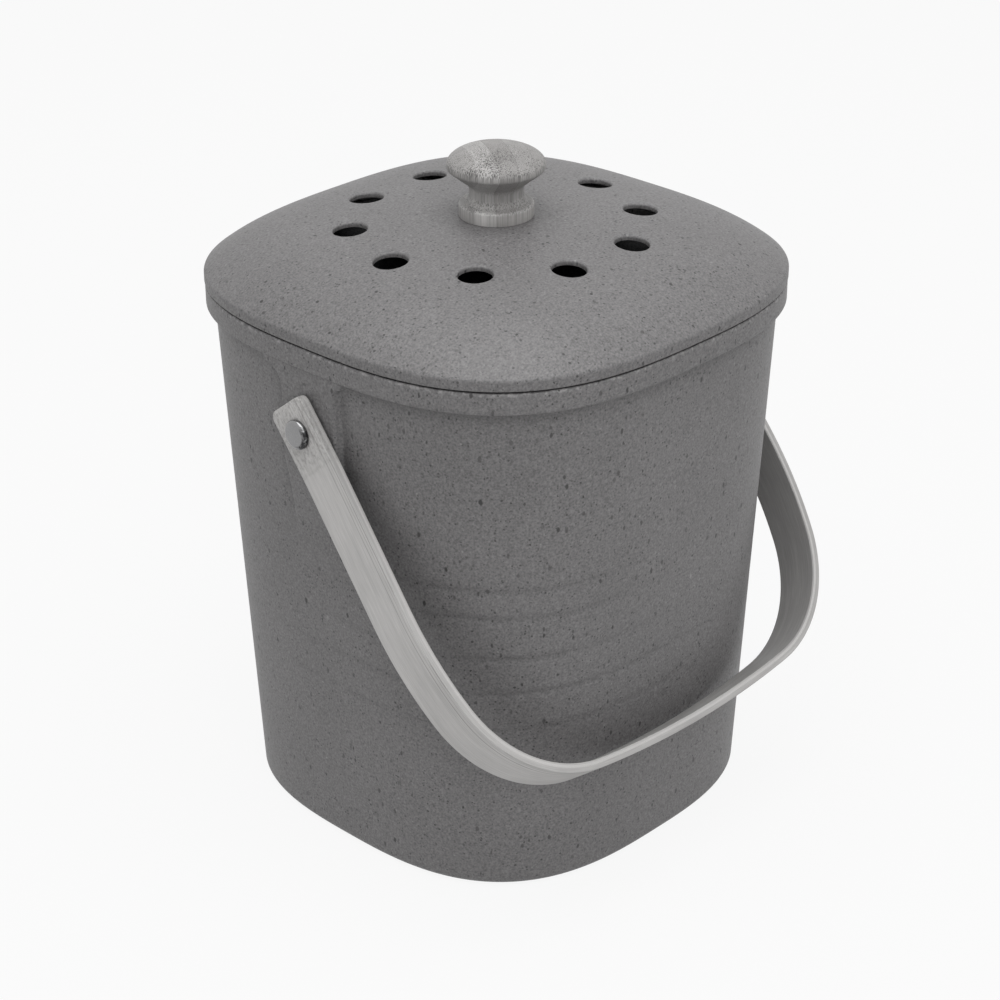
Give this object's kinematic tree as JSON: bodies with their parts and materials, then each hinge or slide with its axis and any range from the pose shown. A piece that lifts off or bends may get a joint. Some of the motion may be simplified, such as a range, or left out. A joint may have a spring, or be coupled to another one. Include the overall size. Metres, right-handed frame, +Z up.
{
  "type": "compost caddy",
  "caption": "Countertop compost caddy: tapered rounded-square bin, lift-off vented lid with turned knob, filter under the lid and a swinging bent strip handle.",
  "frame": {"origin": "middle of the bin's underside, on the table", "axes": "+Z up; X runs through the two handle pivots; the handle rests against the -Y side"},
  "size_m": [0.2016, 0.1976, 0.2531],
  "materials": {
    "bin": "matt, finely speckled",
    "lid": "matt, finely speckled",
    "knob": "turned, unvarnished",
    "strip": "planed, unvarnished",
    "insert": "knurled",
    "screw": "zinc plated",
    "washer": "zinc plated",
    "filter": "felted",
    "cover": "moulded",
    "rivet": "polished",
    "spacer": "moulded"
  },
  "bodies": {
    "bin": {"bin_shell": "bin", "rivet_left": "rivet", "rivet_right": "rivet", "spacer_left": "spacer", "spacer_right": "spacer", "inner_washer_left": "washer", "inner_washer_right": "washer", "clench_cap_left": "rivet", "clench_cap_right": "rivet"},
    "lid": {"lid_shell": "lid", "knob": "knob", "knob_insert": "insert", "knob_screw": "screw", "knob_washer": "washer", "filter_collar": "lid"},
    "filter_tray": {"filter_cover": "cover", "carbon_filter": "filter"},
    "handle": {"handle": "strip"}
  },
  "joints": [
    {"name": "handle_swing", "type": "hinge", "parent": "bin", "child": "handle", "pos_m": [0, 0, 0.1741], "axis": [-1, 0, 0], "range_deg": [0, 283.5]},
    {"name": "lid_lift", "type": "slide", "parent": "bin", "child": "lid", "axis": [0, 0, 1], "range_m": [0, 0.12]},
    {"name": "filter_pull", "type": "slide", "parent": "lid", "child": "filter_tray", "axis": [0, 0, -1], "range_m": [0, 0.03]}
  ]
}
